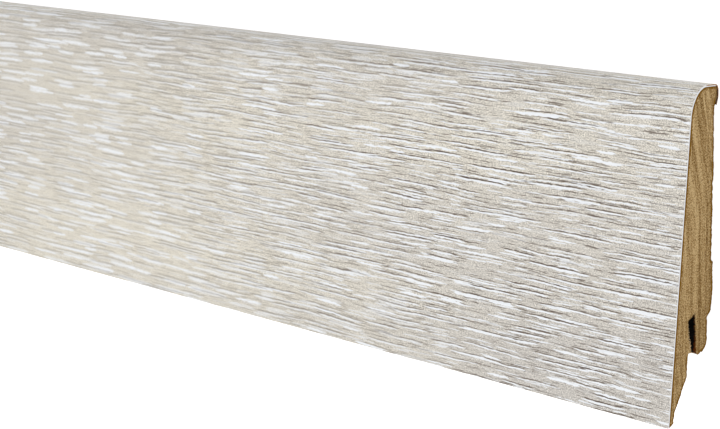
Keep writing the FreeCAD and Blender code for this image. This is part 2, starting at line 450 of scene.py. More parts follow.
def standing(s):
    """What a material needs to measure in the standing section, in millimetres."""
    angle = resting_turn(s)
    back = Matrix.Rotation(-angle, 2) @ -resting_shift(s) / MM
    down = -heading(s.slot_lean)
    half_height = (s.slot_top - s.tongue_bottom) / 2
    middle = Vector((s.slot_top, s.slot_forward)) + down * half_height
    slot_back = Matrix.Rotation(-s.slot_lean, 2) @ -middle / MM
    toe = head_corners(s)[0]
    return {
        "angle": -angle, "place": (0, back.x, back.y), "lean": s.front_lean, "front": toe.y / MM,
        "slot": {"angle": -s.slot_lean, "place": (0, slot_back.x, slot_back.y),
                 "half_width": s.slot_width / 2 / MM + SLOT_MARGIN,
                 "half_height": half_height / MM + SLOT_MARGIN}}


def inner_steps(points, width):
    """Step from each point of a section to a line inside it, the rim's width from its edge."""
    count = len(points)
    edges = []
    for start, end in zip(points, points[1:] + points[:1]):
        edges.append((start, -outward(start, end)))
    moved = []
    for index, point in enumerate(points):
        inner = point + (edges[index - 1][1] + edges[index][1]).normalized() * width
        nearby = [edges[(index + step) % count] for step in range(-RIM_NEIGHBOURS, RIM_NEIGHBOURS)]
        for _ in range(RIM_PASSES):
            for place, inward in nearby:
                apart = (inner - place).dot(inward)
                beside = abs((inner - place).dot(Vector((-inward.y, inward.x))))
                if 0 < apart < width and beside < FIBRE_STEP:
                    inner = inner + inward * (width - apart)
        moved.append(inner - point)
    return moved


def uncrossed(points, steps):
    """Steps to the inner line, shortened wherever that line would cross itself or turn back."""
    count = len(points)
    shortened = set()
    for _ in range(RIM_TURNS):
        inner = [point + step for point, step in zip(points, steps)]
        crossed = set()
        for first in range(count):
            second = (first + 1) % count
            if intersect_line_line_2d(points[first], inner[first], points[second], inner[second]):
                crossed.update((first, second))
            for other in range(first + 2, count):
                ahead = (other + 1) % count
                if (inner[first] - inner[other]).length < RIM_REACH and intersect_line_line_2d(
                        inner[first], inner[second], inner[other], inner[ahead]):
                    crossed.update((first, second, other, ahead))
        if not crossed:
            break
        for index in crossed:
            steps[index] = steps[index] * RIM_SHORTENING
        shortened |= crossed
    return [step * RIM_SHORTENING if index in shortened else step for index, step in enumerate(steps)]


def section_mesh(outline, face_kinds, kind_shares, rims, rim_width):
    """Closed section as a chain of points in the XY plane, its last point on its first.

    Each point carries its distance along the outline, the kind of the face that follows it, its
    share of the baked map's rows, how loose its edge is at the cut, how much of the cut's rim it
    has, and the step to the rim's inner line."""
    points = [point for point, _ in outline]
    kinds = [face_kinds[index] for _, index in outline]
    loop = points + points[:1]
    mesh = bpy.data.meshes.new("section")
    mesh.from_pydata([(p.x, p.y, 0) for p in loop], [(i, i + 1) for i in range(len(points))], [])
    steps = [(end - start).length for start, end in zip(loop, loop[1:])]
    shares = [step * kind_shares[kind] for step, kind in zip(steps, kinds)]
    loose = [float(kinds[i] == EXPOSED and kinds[i - 1] == EXPOSED) for i in range(len(points))]
    rim = [rims[index] for _, index in outline]
    for name, form, values in (
            ("across", "FLOAT", [sum(steps[:i]) for i in range(len(points))] + [0.0]),
            ("row_place", "FLOAT", [sum(shares[:i]) / sum(shares) for i in range(len(loop))]),
            ("loose", "FLOAT", loose + loose[:1]),
            ("rim", "FLOAT", rim + rim[:1]),
            ("kind", "INT", kinds + kinds[:1])):
        mesh.attributes.new(name, form, "POINT").data.foreach_set("value", values)
    if rim_width:
        inner = uncrossed(points, inner_steps(points, rim_width))
        inward = [number for step in inner for number in (step.x, step.y, 0)]
        data = mesh.attributes.new("inward", "FLOAT_VECTOR", "POINT").data
        data.foreach_set("vector", inward + inward[:3])
    return mesh


def add_node(tree, kind, *inputs, **settings):
    """Adds a node. Its kind is a sign, or leaves out ShaderNode and may end in its operation.

    Inputs come in order or as a dict by key. All that a list holds is linked to one input."""
    kind, _, operation = SUMS.get(kind, kind).partition(":")
    node = tree.nodes.new(next(
        prefix + kind for prefix in NODE_PREFIXES if hasattr(bpy.types, prefix + kind)))
    if operation:
        node.operation = operation
    for name, value in settings.items():
        setattr(node, name, value)
    keyed = {}
    for place, value in enumerate(inputs):
        keyed.update(value if isinstance(value, dict) else {place: value})
    for key, values in keyed.items():
        for value in values if isinstance(values, list) else [values]:
            if isinstance(value, bpy.types.Node):
                value = next(socket for socket in value.outputs if socket.enabled)
            if isinstance(value, bpy.types.NodeSocket):
                tree.links.new(value, node.inputs[key])
            elif value is not None:
                node.inputs[key].default_value = value
    return node


def new_tree(name, kind, output, *inputs):
    """A node group with an output and named inputs, what adds its nodes, and its inputs' sockets."""
    tree = bpy.data.node_groups.new(name, kind)
    for label, form, default in inputs:
        socket = tree.interface.new_socket(label, in_out="INPUT", socket_type="NodeSocket" + form)
        if default is not None:
            socket.default_value = default
    label, form = output
    tree.interface.new_socket(label, in_out="OUTPUT", socket_type="NodeSocket" + form)
    new = partial(add_node, tree)
    return tree, new, new("NodeGroupInput").outputs


def swept_board_tree(name, rimmed):
    """Geometry Nodes: sweeps a closed section along the board, with torn edges at its saw cuts.

    A rimmed board has a narrow band of faces round each cut, for the browned rim of the cut."""
    tree, new, given = new_tree(
        name, "GeometryNodeTree", ("Board", "Geometry"),
        ("Section", "Geometry", None),
        ("Length", "Float", 1.0),
        ("Cut Rings", "Int", 6),
        ("First Ring", "Float", 0.0001),
        ("Ring Growth", "Float", 1.8),
        ("Map Rows", "Int", 3),
        ("Rings Per Row", "Int", 2),
        ("Rows Share", "Float", 0.9),
        ("End Map Scale", "Float", 5.0),
        ("Tear", "Float", 0.0),
        ("Tear Reach", "Float", 0.001),
        ("Fibre Pitch", "Float", 0.001),
        ("Face Material", "Material", None),
        ("Edge Material", "Material", None))
    section = given["Section"]

    # Rings: closer and closer towards both cuts, even between them
    count = new("AttributeDomainSize", section).outputs["Point Count"]
    row_rings = new("*", given["Map Rows"], given["Rings Per Row"])
    spans = new("*+", given["Cut Rings"], 2, row_rings)
    grid = new("MeshGrid", {"Vertices X": new("+", spans, 1), "Vertices Y": count})
    index = new("InputIndex")
    middle_of = new("+", index, 0.5)
    ring = new("Math:FLOOR", new("/", middle_of, count))
    step = new("-", index, new("*", ring, count))
    half = new("*", given["Length"], 0.5)
    near = new("Math:MINIMUM", ring, new("-", spans, ring))
    growth = new("-", given["Ring Growth"], 1)
    unit = new("/", given["First Ring"], growth)
    reach, inset = [
        new("*", unit, new("-", new("Math:POWER", given["Ring Growth"], rings), 1))
        for rings in (given["Cut Rings"], near)]
    side = new("Math:SIGN", new("-", new("*", ring, 2), spans))
    end_place = new("*", new("-", half, inset), side)
    middle = new("-", given["Length"], new("*", reach, 2))
    done = new("/", new("-", ring, given["Cut Rings"]), row_rings)
    middle_place = new("*", middle, new("-", done, 0.5))
    near_cut = new("Math:LESS_THAN", near, given["Cut Rings"])
    along = new("Mix", {0: near_cut, 2: middle_place, 3: end_place})
    position = new("InputPosition")
    point = new("SampleIndex", section, position, step, data_type="FLOAT_VECTOR")
    flat = new("SeparateXYZ", point).outputs
    placed = new("SetPosition", grid, {"Position": new("CombineXYZ", along, flat[0], flat[1])})

    def section_value(name, where):
        value = new("InputNamedAttribute", name, data_type="FLOAT")
        return new("SampleIndex", section, value, where, data_type="FLOAT")

    def kept(geometry, domain, **values):
        node = new("CaptureAttribute", geometry, domain=domain)
        for place, (name, value) in enumerate(values.items()):
            node.capture_items.new("FLOAT", name)
            tree.links.new(value.outputs[0], node.inputs[place + 1])
        return node.outputs

    points = kept(placed, "POINT", across=section_value("across", step),
                  row_place=section_value("row_place", step), along=along)
    sides = new("StoreNamedAttribute", {
        0: points[0], "Name": "across", "Value": points["across"]}, data_type="FLOAT", domain="POINT")

    # Baked map: the length in rows, one above the other
    per_ring = new("-", count, 1)
    face_ring = new("Math:FLOOR", new("/", middle_of, per_ring))
    face_step = new("-", index, new("*", face_ring, per_ring))
    past_cut = new("-", new("+", face_ring, 0.5), given["Cut Rings"])
    row = new("Math:FLOOR", new("/", past_cut, given["Rings Per Row"]))
    last_row = new("-", given["Map Rows"], 1)
    row = new("Math:MINIMUM", new("Math:MAXIMUM", row, 0), last_row)
    faces = kept(sides, "FACE", row=row, kind=section_value("kind", face_step))
    row_length = new("/", middle, given["Map Rows"])
    row_start = new("-", new("*", faces["row"], row_length), half)
    past_start = new("-", points["along"], row_start)
    in_length = new("/", past_start, new("*+", reach, 2, row_length))
    map_u = new("*+", in_length, 1 - 2 * ROW_END_MARGIN, ROW_END_MARGIN)
    in_row = new("*+", points["row_place"], 1 - 2 * ROW_MARGIN, ROW_MARGIN)
    in_rows = new("/", new("+", faces["row"], in_row), given["Map Rows"])
    map_v = new("*", in_rows, given["Rows Share"])
    sides = new("StoreNamedAttribute", {
        0: faces[0], "Name": "OFBake", "Value": new("CombineXYZ", map_u, map_v)},
        data_type="FLOAT2", domain="CORNER")
    sides = new("SetMaterial", {0: sides, "Material": given["Face Material"]})
    is_edge = new("Math:GREATER_THAN", faces["kind"], 0.5)
    sides = new("SetMaterial", {0: sides, 1: is_edge, "Material": given["Edge Material"]})

    # Cut ends, with the strip of the map above the rows
    loop = new("MergeByDistance", {0: section, "Distance": MERGE})
    if rimmed:
        band = new("ExtrudeMesh", {"Mesh": loop, "Offset Scale": 0.0}, mode="EDGES").outputs
        inward = new("InputNamedAttribute", "inward", data_type="FLOAT_VECTOR")
        moved = new("SetPosition", band["Mesh"], band["Top"], {"Offset": inward})
        inside = new("FillCurve", new("MeshToCurve", moved, band["Top"]), mode="NGONS")
        facing = new("SeparateXYZ", new("InputNormal")).outputs["Z"]
        turned = new("FlipFaces", moved, new("Math:LESS_THAN", facing, 0.0))
        cap = new("JoinGeometry", [turned, inside])
        cap = new("MergeByDistance", {0: cap, "Distance": RIM_MERGE})
    else:
        cap = new("FillCurve", new("MeshToCurve", loop), mode="NGONS")
    cap = new("SetMaterial", {0: cap, "Material": given["Edge Material"]})
    flat = new("SeparateXYZ", position).outputs
    depth = new("-", flat[1], HALF_LYING_DEPTH)
    middle_row = new("*+", given["Rows Share"], 0.5, 0.5)
    map_v = new("*+", depth, given["End Map Scale"], middle_row)
    pieces = [sides]
    for way, centre in ((1, 0.25), (-1, 0.75)):
        map_u = new("*+", flat[0], given["End Map Scale"], centre)
        end = new("StoreNamedAttribute", {
            0: cap, "Name": "OFBake", "Value": new("CombineXYZ", map_u, map_v)},
            data_type="FLOAT2", domain="CORNER")
        at_cut = new("CombineXYZ", new("*", half, way), flat[0], flat[1])
        end = new("SetPosition", {0: end, "Position": at_cut})
        pieces.append(end if way > 0 else new("FlipFaces", end))
    whole = new("MergeByDistance", {0: new("JoinGeometry", pieces), "Distance": MERGE})

    # What each point has of the outline, for the materials
    place = new("SeparateXYZ", position).outputs
    beside = new("CombineXYZ", place[1], place[2])
    nearest = new("SampleNearest", section, beside)
    outline_point = new("SampleIndex", section, position, nearest, data_type="FLOAT_VECTOR")
    apart = new("VectorMath:DISTANCE", beside, outline_point)
    on_outline = new("Math:LESS_THAN", apart.outputs["Value"], ON_OUTLINE)
    for label, value in (
            ("across", section_value("across", nearest)),
            ("rim", new("*", section_value("rim", nearest), on_outline))):
        whole = new("StoreNamedAttribute", {
            0: whole, "Name": label, "Value": value}, data_type="FLOAT", domain="POINT")

    # Torn edges, which die away behind the cut and don't widen the board
    from_cut = new("-", half, new("Math:ABSOLUTE", place[0]))
    fade = new("MapRange", from_cut, 0.0, given["Tear Reach"], 1.0, 0.0,
               interpolation_type="SMOOTHSTEP")
    noise = new("TexNoise", {
        "Vector": position, "Scale": new("/", 1, given["Fibre Pitch"]),
        "Detail": 2.0, "Roughness": 0.7})
    swing = new("VectorMath:SUBTRACT", noise.outputs["Color"], (0.5, 0.5, 0.5))
    swing = new("VectorMath:MULTIPLY", swing, (0, 2, 2))
    loose = new("*", section_value("loose", nearest), on_outline)
    amount = new("*", loose, new("*", fade, given["Tear"]))
    torn = new("VectorMath:MULTIPLY_ADD", swing, new("CombineXYZ", amount, amount, amount), position)
    torn = new("VectorMath:MAXIMUM", torn, tuple(CAD_BOX[0]))
    smooth = new("SetShadeSmooth", {
        0: new("SetPosition", {0: whole, "Position": torn}), "Shade Smooth": True}, domain="FACE")
    sharp = new("Math:GREATER_THAN", new("InputMeshEdgeAngle"), SHARP_TURN)
    smooth = new("SetShadeSmooth", smooth, sharp, False, domain="EDGE")
    new("NodeGroupOutput", new("RealizeInstances", smooth))
    return tree


def torn_fibre_tree():
    """Geometry Nodes: bent, tapering fibres that stand off along a mesh's edges, longer to its end."""
    tree, new, given = new_tree(
        "Torn Fibres", "GeometryNodeTree", ("Fibres", "Geometry"),
        ("Torn Edges", "Geometry", None),
        ("Count", "Int", 20),
        ("Shortest", "Float", 0.0003),
        ("Longest", "Float", 0.001),
        ("Slimness", "Float", 0.1),
        ("Bend", "Float", 0.3),
        ("Lean", "Float", 0.3),
        ("Spread", "Float", 0.5),
        ("Seed", "Int", 0),
        ("Material", "Material", None))

    # One fibre, a unit long, that tapers and bends to one side
    strand = new("ResampleCurve", {0: new("CurvePrimitiveLine", {"End": (1, 0, 0)}), "Count": 6})
    run = new("SplineParameter").outputs["Factor"]
    bow = new("*", new("*", run, run), given["Bend"])
    strand = new("SetPosition", {0: strand, "Offset": new("CombineXYZ", 0.0, 0.0, bow)})
    taper = new("MapRange", run, 0.0, 1.0, 1.0, 0.3)
    strand = new("SetCurveRadius", {0: strand, "Radius": taper})
    thickness = new("*", given["Slimness"], 0.5)
    ring = new("CurvePrimitiveCircle", {"Resolution": 5, "Radius": thickness})
    strand = new("CurveToMesh", strand, ring, {"Fill Caps": True})

    # Fibres along every chain of edges, pointing down and leaning to its end
    edges = new("MeshToCurve", given["Torn Edges"])
    points = new("ResampleCurve", {0: edges, "Count": given["Count"]})
    turns = new("RandomValue", {
        0: (-0.2, -1.0, -0.05), 1: (0.2, 1.0, 0.05), "Seed": given["Seed"]},
        data_type="FLOAT_VECTOR")
    turns = new("SeparateXYZ", turns).outputs
    lean = new("*+", turns[1], given["Spread"], given["Lean"])
    lean = new("+", lean, math.pi / 2)
    turn = new("CombineXYZ", turns[0], lean, new("+", turns[2], math.pi / 2))
    turn = new("EulerToRotation", turn)
    chance = new("RandomValue", {
        2: 0.5, 3: 1.0, "Seed": new("+", given["Seed"], 1)}, data_type="FLOAT")
    longest = new("MapRange", run, 0.3, 1.0, given["Shortest"], given["Longest"])
    fibres = new("InstanceOnPoints", {
        "Points": points, "Instance": strand, "Rotation": turn,
        "Scale": new("*", chance, longest)})
    fibres = new("SetShadeSmooth", {
        0: new("RealizeInstances", fibres), "Shade Smooth": True}, domain="FACE")
    new("NodeGroupOutput", new("SetMaterial", {0: fibres, "Material": given["Material"]}))
    return tree


def with_nodes(name, mesh, tree, values):
    """Plain mesh object that a node tree makes of a mesh."""
    seed = bpy.data.objects.new(name + "_seed", mesh)
    bpy.context.scene.collection.objects.link(seed)
    modifier = seed.modifiers.new("Nodes", "NODES")
    modifier.node_group = tree
    for item in tree.interface.items_tree:
        if item.item_type == "SOCKET" and item.in_out == "INPUT" and item.name in values:
            modifier[item.identifier] = values[item.name]
    evaluated = seed.evaluated_get(bpy.context.evaluated_depsgraph_get())
    result = bpy.data.meshes.new_from_object(evaluated)
    result.name = name
    for slot in reversed(range(len(result.materials))):
        if result.materials[slot] is None:
            result.materials.pop(index=slot)
    piece = bpy.data.objects.new(name, result)
    bpy.context.scene.collection.objects.link(piece)
    bpy.data.objects.remove(seed)
    if not result.polygons:
        raise RuntimeError(f"{name} came out empty")
    return piece


def emptied(block):
    """A new material or world with its nodes cleared, and what adds its nodes."""
    block.use_nodes = True
    block.node_tree.nodes.clear()
    return block, partial(add_node, block.node_tree)


def repeats(*pitches):
    """How often a pattern repeats in a millimetre along each axis, from its pitches there."""
    return tuple(1 / pitch for pitch in pitches)


def noises(new, *rows):
    """Sum of noises round zero, each with its vector, pitches in millimetres, detail and swing."""
    total = None
    for vector, pitches, detail, swing in rows:
        noise = new("TexNoise", {
            "Vector": new("VectorMath:MULTIPLY", vector, repeats(*pitches)),
            "Scale": 1.0, "Detail": detail})
        part = new("*", new("-", noise, 0.5), swing)
        total = part if total is None else new("+", total, part)
    return total


def stroke_group():
    """Shader group: long thin strokes, one to a cell, tapered, frayed and broken up."""
    tree, new, given = new_tree(
        "Strokes", "ShaderNodeTree", ("Stroke", "Float"),
        ("Place", "Vector", None),
        ("Cell Length", "Float", 10.0),
        ("Cell Pitch", "Float", 1.0),
        ("Longest", "Float", 0.9),
        ("Width", "Float", 0.2),
        ("Softness", "Float", 0.1),
        ("Fray", "Float", 0.5),
        ("Offset", "Float", 0.0),
        ("Share", "Float", 0.8),
        ("Broken", "Float", 0.65),
        ("Blur", "Float", 0.0),
        ("Seed", "Float", 0.0))
    place = new("SeparateXYZ", given["Place"]).outputs
    seed = given["Seed"]

    # Cells in a grid that noise shreds, so that the strokes' sides fray
    shredded = new("TexNoise", {
        "Vector": new("CombineXYZ", new("*", place[0], 0.25), new("*", place[1], 3.5), seed),
        "Scale": 1.0, "Detail": 1.0})
    shift = new("*", new("-", shredded, 0.5), given["Fray"])
    along = new("+", place[0], shift)
    moved = new("+", place[1], given["Offset"])
    cell = new("CombineXYZ", given["Cell Length"], given["Cell Pitch"], 1.0)
    grid = new("VectorMath:DIVIDE", new("CombineXYZ", along, moved), cell)
    grid = new("VectorMath:ADD", grid, new("CombineXYZ", seed, new("*", seed, 7.3)))
    cells = new("TexVoronoi", {"Vector": grid, "Scale": 1.0, "Randomness": 0.9},
                voronoi_dimensions="2D").outputs
    from_centre = new("VectorMath:SUBTRACT", grid, cells["Position"])
    from_centre = new("SeparateXYZ", new("VectorMath:MULTIPLY", from_centre, cell)).outputs

    # Each cell's stroke has a length, a width and a chance of its own
    chance = new("SeparateColor", cells["Color"]).outputs
    reach = new("*", given["Longest"], new("*+", chance[0], 0.35, 0.2))
    reach = new("*", given["Cell Length"], reach)
    width = new("*", given["Width"], new("*+", chance[1], 0.5, 0.4))
    run = new("/", from_centre[0], reach)
    run = new("*", run, run)
    taper = new("-", 1.0, new("*", run, run))
    broken = new("TexNoise", {
        "Vector": new(
            "CombineXYZ", new("*", place[0], 0.8), new("*", place[1], 3.0), new("+", seed, 3.7)),
        "Scale": 1.0, "Detail": 2.0})
    ragged = new("MapRange", broken, 0.3, 0.6, new("-", 1.0, given["Broken"]), 1.1)
    fullness = new("*", taper, ragged)
    edge = new("*+", given["Blur"], 0.5, new("*", width, fullness))
    inside = new("-", edge, new("Math:ABSOLUTE", from_centre[1]))
    softness = new("+", given["Softness"], given["Blur"])
    body = new("/", inside, softness, use_clamp=True)
    ends = new("*", fullness, 3.0, use_clamp=True)
    there = new("*", new("-", given["Share"], chance[2]), 4.0, use_clamp=True)
    new("NodeGroupOutput", new("*", body, new("*", ends, there)))
    return tree


def stroke_layers(look):
    """Each layer's colour, its cover in the faintest and the strongest grain, and its values."""
    dark, white = look.pore_dark, look.pore_white_and_highlight
    names = ("Cell Length", "Cell Pitch", "Width", "Seed", "Share",
             "Softness", "Fray", "Broken", "Longest", "Offset")
    rows = (
        (dark, 0.0, 0.7, 4, 0.42, 0.12, 23.9, 1.0, 0.045, 0.5, 1.2, 0.9, 0),
        (dark, 0.05, 0.9, 9, 0.8, 0.16, 11.7, 1.0, 0.045, 0.8, 0.8, 1.0, 0),
        (white, 1.0, 0.1, 12, 1.6, 0.5, 71.9, 0.8, 0.1, 1.0, 0.3, 0.9, 0),
        (white, 1.0, 1.0, 11, 2.1, 0.36, 37.3, 0.75, 0.04, 1.2, 0.6, 0.9, 0),
        # Painted highlight: pale lines 0.3 mm beside the dark pores of the last layer, where their
        # embossed lips catch the light
        (white, 0.25, 1.0, 16, 1.35, 0.28, 3.1, 1.1, 0.04, 1.2, 0.6, 0.9, 0.3),
        (white, 0.0, 0.9, 7, 1.1, 0.24, 51.1, 0.85, 0.04, 1.0, 0.7, 0.9, 0),
        (dark, 0.3, 1.0, 16, 1.35, 0.18, 3.1, 1.2, 0.045, 1.0, 0.7, 1.1, 0),
    )
    return [(tint, faint, full, dict(zip(names, values))) for tint, faint, full, *values in rows]


def decor_material(look):
    """Printed and embossed limed-oak decor film: matt lacquer over paper, white and dark pores, and
    painted highlights beside some dark pores.
    """
    material, new = emptied(bpy.data.materials.new("Limed Oak Decor Film"))
    along = new("SeparateXYZ", new("TexCoord").outputs["Object"]).outputs[0]
    across = new("Attribute", attribute_name="across").outputs["Fac"]
    raw = new("VectorMath:SCALE", {0: new("CombineXYZ", along, across), "Scale": 1 / MM})

    # The grain flows in long shallow waves, and every stroke follows them
    flat = new("SeparateXYZ", raw).outputs
    bend = noises(
        new, (raw, (24, 9, 1), 1.0, 1.5), (raw, (6, 2.2, 1), 1.0, 0.4),
        (raw, (1.6, 1.2, 1), 1.0, 0.2), (raw, (0.6, 0.5, 1), 1.0, 0.12))
    place = new("CombineXYZ", flat[0], new("+", flat[1], bend))

    # Broad zones: warm and grey ground, strong and faint grain, and painted light and shade
    zones = []
    for shift, pitches, low, high in (
            (look.cloud_shift, (170, 45, 1), 0.337, 0.711),
            (look.grain_shift, (160, 80, 1), 0.215, 0.686),
            (look.painted_shade_shift, (120, 50, 1), 0.191, 0.686)):
        shifted = new("VectorMath:ADD", raw, shift)
        noise = new("TexNoise", {
            "Vector": new("VectorMath:MULTIPLY", shifted, repeats(*pitches)),
            "Scale": 1.0, "Detail": 2.0, "Roughness": 0.45})
        zones.append(new("MapRange", noise, low, high, 0.0, 1.0))
    cloud, grain, painted_shade_zone = zones
    colour = new("Mix", {
        0: cloud, 6: (*look.ground_grey, 1), 7: (*look.ground_warm, 1)}, data_type="RGBA")

    # Ground: faint drawn-out streaks and a fine leathery mottle
    shade = noises(
        new, (place, (12, 0.7, 1), 1.0, look.streaks), (raw, (0.6, 0.3, 1), 1.0, look.mottle),
        (raw, (0.24, 0.18, 1), 1.0, look.speckle * 3))
    strong = new("MapRange", grain, 0.0, 1.0, look.faintest, 1.0)
    blur = new("MapRange", grain, 0.0, 1.0, look.blur / MM, 0.0)
    # Painted light and shade, darker in the dark zones and lighter in the light ones
    painted_shade_zone = new("MapRange", painted_shade_zone, 0.0, 1.0, 1 - look.painted_shade_depth * 0.65, 1 + look.painted_shade_depth * 0.35)
    shade = new("*+", shade, strong, painted_shade_zone)
    colour = new("VectorMath:SCALE", {0: colour, "Scale": shade})

    group = stroke_group()
    relief = None
    for tint, faint, full, values in stroke_layers(look):
        layer = new("Group", {**values, "Place": place, "Blur": blur}, node_tree=group)
        amount = new("*", layer, new("MapRange", grain, 0.0, 1.0, faint, full))
        colour = new("Mix", {0: amount, 6: colour, 7: (*tint, 1)}, data_type="RGBA")
        relief = amount if relief is None else new("+", relief, amount)

    bump = new("Bump", {"Strength": 1.0, "Distance": look.pore_depth, "Height": relief}, invert=True)
    new("OutputMaterial", new("BsdfPrincipled", {
        "Base Color": colour, "Roughness": 0.55, "Normal": bump}))
    return material


def film_edge_material(look):
    """Cut edge and back of the film: pale base paper, browned by glue behind the head."""
    material, new = emptied(bpy.data.materials.new("Film Base Paper"))
    place = new("TexCoord").outputs["Object"]
    flat = new("SeparateXYZ", new("VectorMath:SCALE", {0: place, "Scale": 1 / MM})).outputs
    fleck = new("TexNoise", {"Vector": place, "Scale": 1 / (0.5 * MM), "Detail": 2.0})
    low = new("+", fleck, flat[2])
    under_head = new("MapRange", low, *TAIL_BROWNED, 1.0, 0.0)
    glued_side = new("Attribute", attribute_name="rim").outputs["Fac"]
    glue_line = new("*+", under_head, 0.35, glued_side)
    glue_line = new("MapRange", glue_line, 0.85, 0.95, 0.0, 1.0)
    worn = new("MapRange", low, *FRONT_WORN, 1.0, 0.0)
    worn_side = new("*", worn, new("Math:LESS_THAN", glued_side, 0.35))
    browned = new("Math:MAXIMUM", under_head, worn_side)
    colour = (*look.edge_grey, 1)
    for cover, tint in (
            (fleck, look.edge_pale), (browned, look.edge_tail), (glue_line, look.edge_glue)):
        colour = new("Mix", {0: cover, 6: colour, 7: (*tint, 1)}, data_type="RGBA")
    new("OutputMaterial", new("BsdfPrincipled", {"Base Color": colour, "Roughness": 0.75}))
    return material


def fibreboard_material(look, turned):
    """Medium-density fibreboard: matted wood fibre, sawn at the ends and cut by a moulder."""
    material, new = emptied(bpy.data.materials.new("Fibreboard"))
    raw = new("VectorMath:SCALE", {0: new("TexCoord").outputs["Object"], "Scale": 1 / MM})
    stood = new("Mapping", {
        "Vector": raw, "Location": turned["place"], "Rotation": (turned["angle"], 0, 0)})
    along, height, forward = new("SeparateXYZ", stood).outputs

    # Bands that lean forward above the middle, where the mat was pressed askew, and matted fibre.
    # Both are faint on the faces that the moulder cut
    above = new("Math:MAXIMUM", new("-", height, LAYERS_LEAN_FROM), 0.0)
    leaned = new("-", forward, new("*", above, LAYERS_LEAN))
    layered = new("CombineXYZ", along, height, leaned)
    tone = noises(
        new, (layered, (9, 26, 1.2), 2.0, look.bands), (stood, (4, 2.2, 0.4), 2.0, look.fibres * 1.3),
        (stood, (1.2, 0.28, 0.22), 1.0, look.fibres * 2.6))
    from_cut = new("-", BOARD_LENGTH / 2 / MM, new("Math:ABSOLUTE", along))
    inside = new("Math:GREATER_THAN", from_cut, SAWN_DEPTH)
    even = new("*+", inside, -0.6, 1.0)
    tone = new("*+", tone, even, 0.5)
    colour = new("ValToRGB", tone)
    elements = colour.color_ramp.elements
    elements.new(0.5)
    tints = (look.fibre_dark, look.fibre_middle, look.fibre_light)
    for element, place, tint in zip(elements, (0.1, 0.5, 0.9), tints):
        element.position = place
        element.color = (*tint, 1)

    # The pressed skin under the film is denser and darker, and the moulder's cuts a little
    lean = math.tan(turned["lean"])
    from_front = new("-", turned["front"], new("*+", height, lean, forward))
    skin = new("MapRange", from_front, 0.0, SKIN_DEPTH, 0.6, 0.0)
    skin = new("Math:MAXIMUM", new("*", inside, 0.35), skin)

    # The saw browns the rim of its cut, least at the head
    band = new("Attribute", attribute_name="rim").outputs["Fac"]
    rim = new("-", band, new("MapRange", height, *HEAD_FADE, 0.0, 0.35))
    rim = new("MapRange", new("*+", tone, -0.4, rim), -0.2, 0.1, 0.0, 1.0)
    slot = turned["slot"]
    slot_place = new("Mapping", {
        "Vector": stood, "Location": slot["place"], "Rotation": (slot["angle"], 0, 0)})
    _, above, beside = new("SeparateXYZ", new("VectorMath:ABSOLUTE", slot_place)).outputs
    past_slot = new(
        "Math:MAXIMUM", new("-", beside, slot["half_width"]), new("-", above, slot["half_height"]))
    for fade in (
            new("MapRange", band, 0.0, 0.1, 0.0, 1.0),
            new("-", 1.0, inside),
            new("MapRange", forward, *HEEL_FADE, 0.3, 1.0),
            new("MapRange", past_slot, *SLOT_FADE, 0.2, 1.0)):
        rim = new("*", rim, fade)
    browned = new("*", new("Math:MAXIMUM", rim, skin), look.skin)

    # Painted shade: the slot's walls are brown just behind the cut, where they are half in shade, and
    # darker further in, and the same goes for what is behind the back face
    behind = new("Math:LESS_THAN", forward, BEHIND_BACK)
    in_slot = new("Math:MAXIMUM", new("Math:LESS_THAN", past_slot, 0.0), behind)
    half_shaded = new("*", in_slot, new("MapRange", from_cut, 0.0, 0.2, 0.0, 1.0))
    mouth = new("MapRange", height, *SLOT_MOUTH, -0.45, 0.0)
    shadow = new("+", new("*+", tone, 0.6, from_cut), mouth)
    shadow = new("*", in_slot, new("MapRange", shadow, 0.2, 0.6, 0.0, 1.0))
    for cover, tint in (
            (browned, look.fibre_skin), (half_shaded, look.slot_half_shade), (shadow, look.slot_shade)):
        colour = new("Mix", {0: cover, 6: colour, 7: (*tint, 1)}, data_type="RGBA")
    bump = new("Bump", {"Strength": 1.0, "Distance": look.nap, "Height": tone})
    new("OutputMaterial", new("BsdfPrincipled", {
        "Base Color": colour, "Roughness": 0.9, "Specular IOR Level": 0.1, "Normal": bump}))
    return material


def torn_fibre_material(look):
    """Wood fibre torn out by the groove cutter, coloured paler than the pressed mat."""
    material, new = emptied(bpy.data.materials.new("Torn Wood Fibre"))
    place = new("TexCoord").outputs["Object"]
    fleck = new("TexNoise", {"Vector": place, "Scale": 1 / (0.4 * MM), "Detail": 2.0})
    colour = new("Mix", {0: fleck, 6: (*look.fibre_middle, 1), 7: (*look.torn, 1)}, data_type="RGBA")
    new("OutputMaterial", new("BsdfPrincipled", {
        "Base Color": colour, "Roughness": 0.8, "Specular IOR Level": 0.3}))
    return material


def seen_directly(new):
    """1 where a camera or a reflection sees the studio, and 0 where the studio lights the board."""
    ray = new("LightPath").outputs
    return new("Math:MAXIMUM", ray["Is Camera Ray"], new(
        "Math:MAXIMUM", ray["Is Glossy Ray"], ray["Is Transmission Ray"]))


def floor_material():
    """Seamless pale floor that a camera sees as white, but for the board's shadow."""
    material, new = emptied(bpy.data.materials.new("Pale Floor"))
    glow = new("Emission", (1, 1, 1, 1), new("*", seen_directly(new), FLOOR_GLOW))
    new("OutputMaterial", new("AddShader", glow, new("BsdfDiffuse", (*linear(FLOOR_COLOUR), 1))))
    return material


